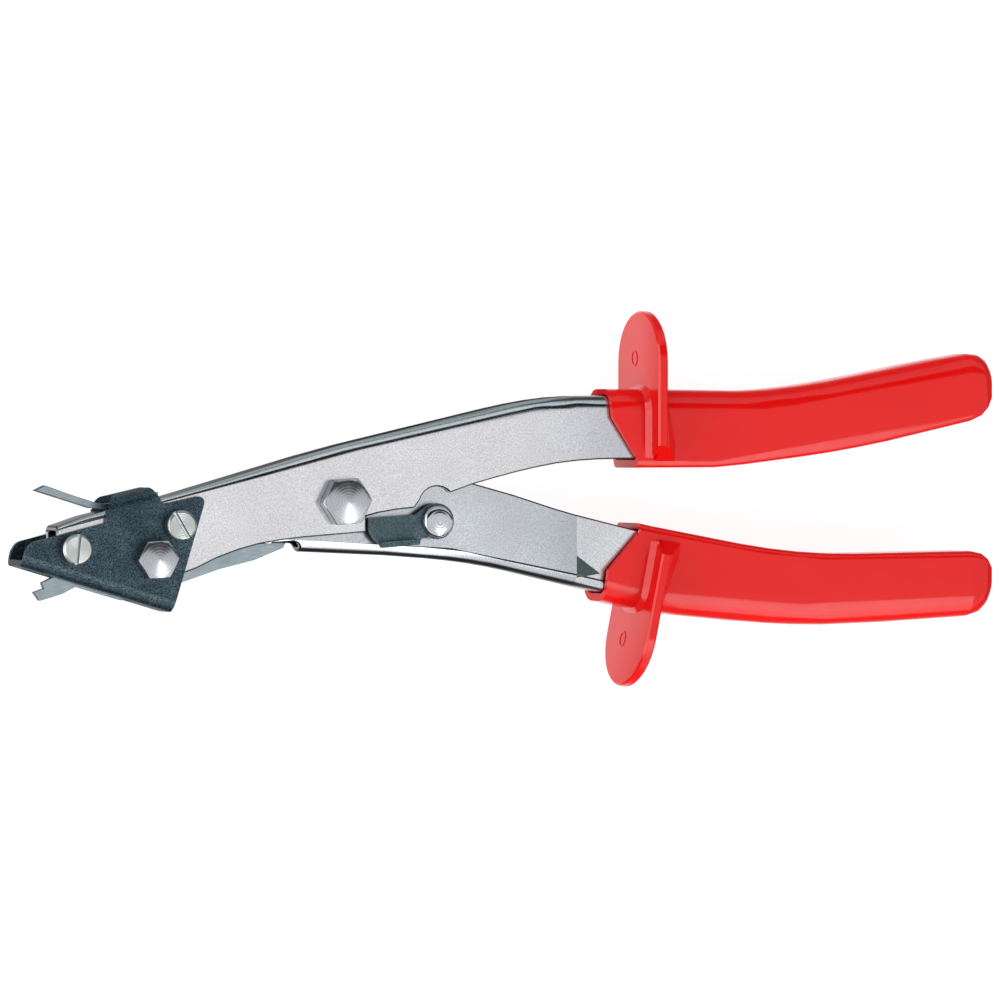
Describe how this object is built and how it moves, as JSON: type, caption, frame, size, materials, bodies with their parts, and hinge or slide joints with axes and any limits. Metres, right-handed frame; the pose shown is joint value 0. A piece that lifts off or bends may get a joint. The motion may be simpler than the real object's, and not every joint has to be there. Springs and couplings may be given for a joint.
{
  "type": "hand sheet-metal nibbler",
  "caption": "Hand nibbler for sheet metal: sheet-steel channel handles with red dipped grips and finger guards, a folded black die shoe, a hooked punch blade and a handle catch.",
  "frame": {"origin": "middle of the bounding box in X and Y, at the bottom in Z: the tool lies on its side on the rims of its two finger guards", "axes": "+X along the tool from the cutting nose to the grip ends, +Y from the lower handle to the upper handle, +Z along every pivot pin, towards the screw heads and the catch"},
  "size_m": [0.28, 0.103, 0.033],
  "materials": {
    "satin_nickel": "satin nickel plate on pressed sheet steel",
    "bright_nickel": "bright nickel plate, turned faces",
    "zinc_plate": "zinc plate",
    "ground_tool_steel": "ground tool steel",
    "spring_wire": "drawn spring wire, oiled",
    "burnished_black": "blue-black burnished steel, satin",
    "red_plastic": "glossy red dipped plastic"
  },
  "bodies": {
    "frame": {"upper_frame": "satin_nickel", "cutting_shoe": "burnished_black", "chip_deflector": "ground_tool_steel", "main_bolt": "bright_nickel", "main_nut": "bright_nickel", "blade_bolt": "bright_nickel", "blade_nut": "bright_nickel", "blade_washer_near": "zinc_plate", "blade_washer_far": "zinc_plate", "pivot_bush": "zinc_plate", "shoe_screw_front": "zinc_plate", "shoe_screw_rear": "zinc_plate", "shoe_nut_front": "zinc_plate", "shoe_nut_rear": "zinc_plate", "spacer_front": "zinc_plate", "spacer_rear": "zinc_plate", "opening_spring": "spring_wire", "upper_grip": "red_plastic"},
    "lever": {"lower_handle": "satin_nickel", "drive_pin": "ground_tool_steel", "catch_rivet": "bright_nickel", "catch_washer": "bright_nickel", "lower_grip": "red_plastic"},
    "blade": {"cutting_blade": "ground_tool_steel"},
    "catch": {"handle_catch": "burnished_black"}
  },
  "joints": [
    {"name": "handle_joint", "type": "hinge", "parent": "frame", "child": "lever", "pos_m": [-0.0499, -0.0004, 0.0165], "axis": [0, 0, 1], "range_deg": [0, 9.5], "stiffness_Nm_per_rad": 2, "springref_deg": -8.59, "deforming": ["opening_spring"]},
    {"name": "blade_joint", "type": "hinge", "parent": "frame", "child": "blade", "pos_m": [-0.1031, -0.0157, 0.0165], "axis": [0, 0, 1], "range_deg": [-9.5, 0]},
    {"name": "catch_joint", "type": "hinge", "parent": "lever", "child": "catch", "pos_m": [-0.0242, -0.0058, 0.0165], "axis": [0, 0, 1], "range_deg": [0, 35]}
  ],
  "couplings": [
    {"joint": "blade_joint", "follows": "handle_joint", "ratio": -1}
  ]
}
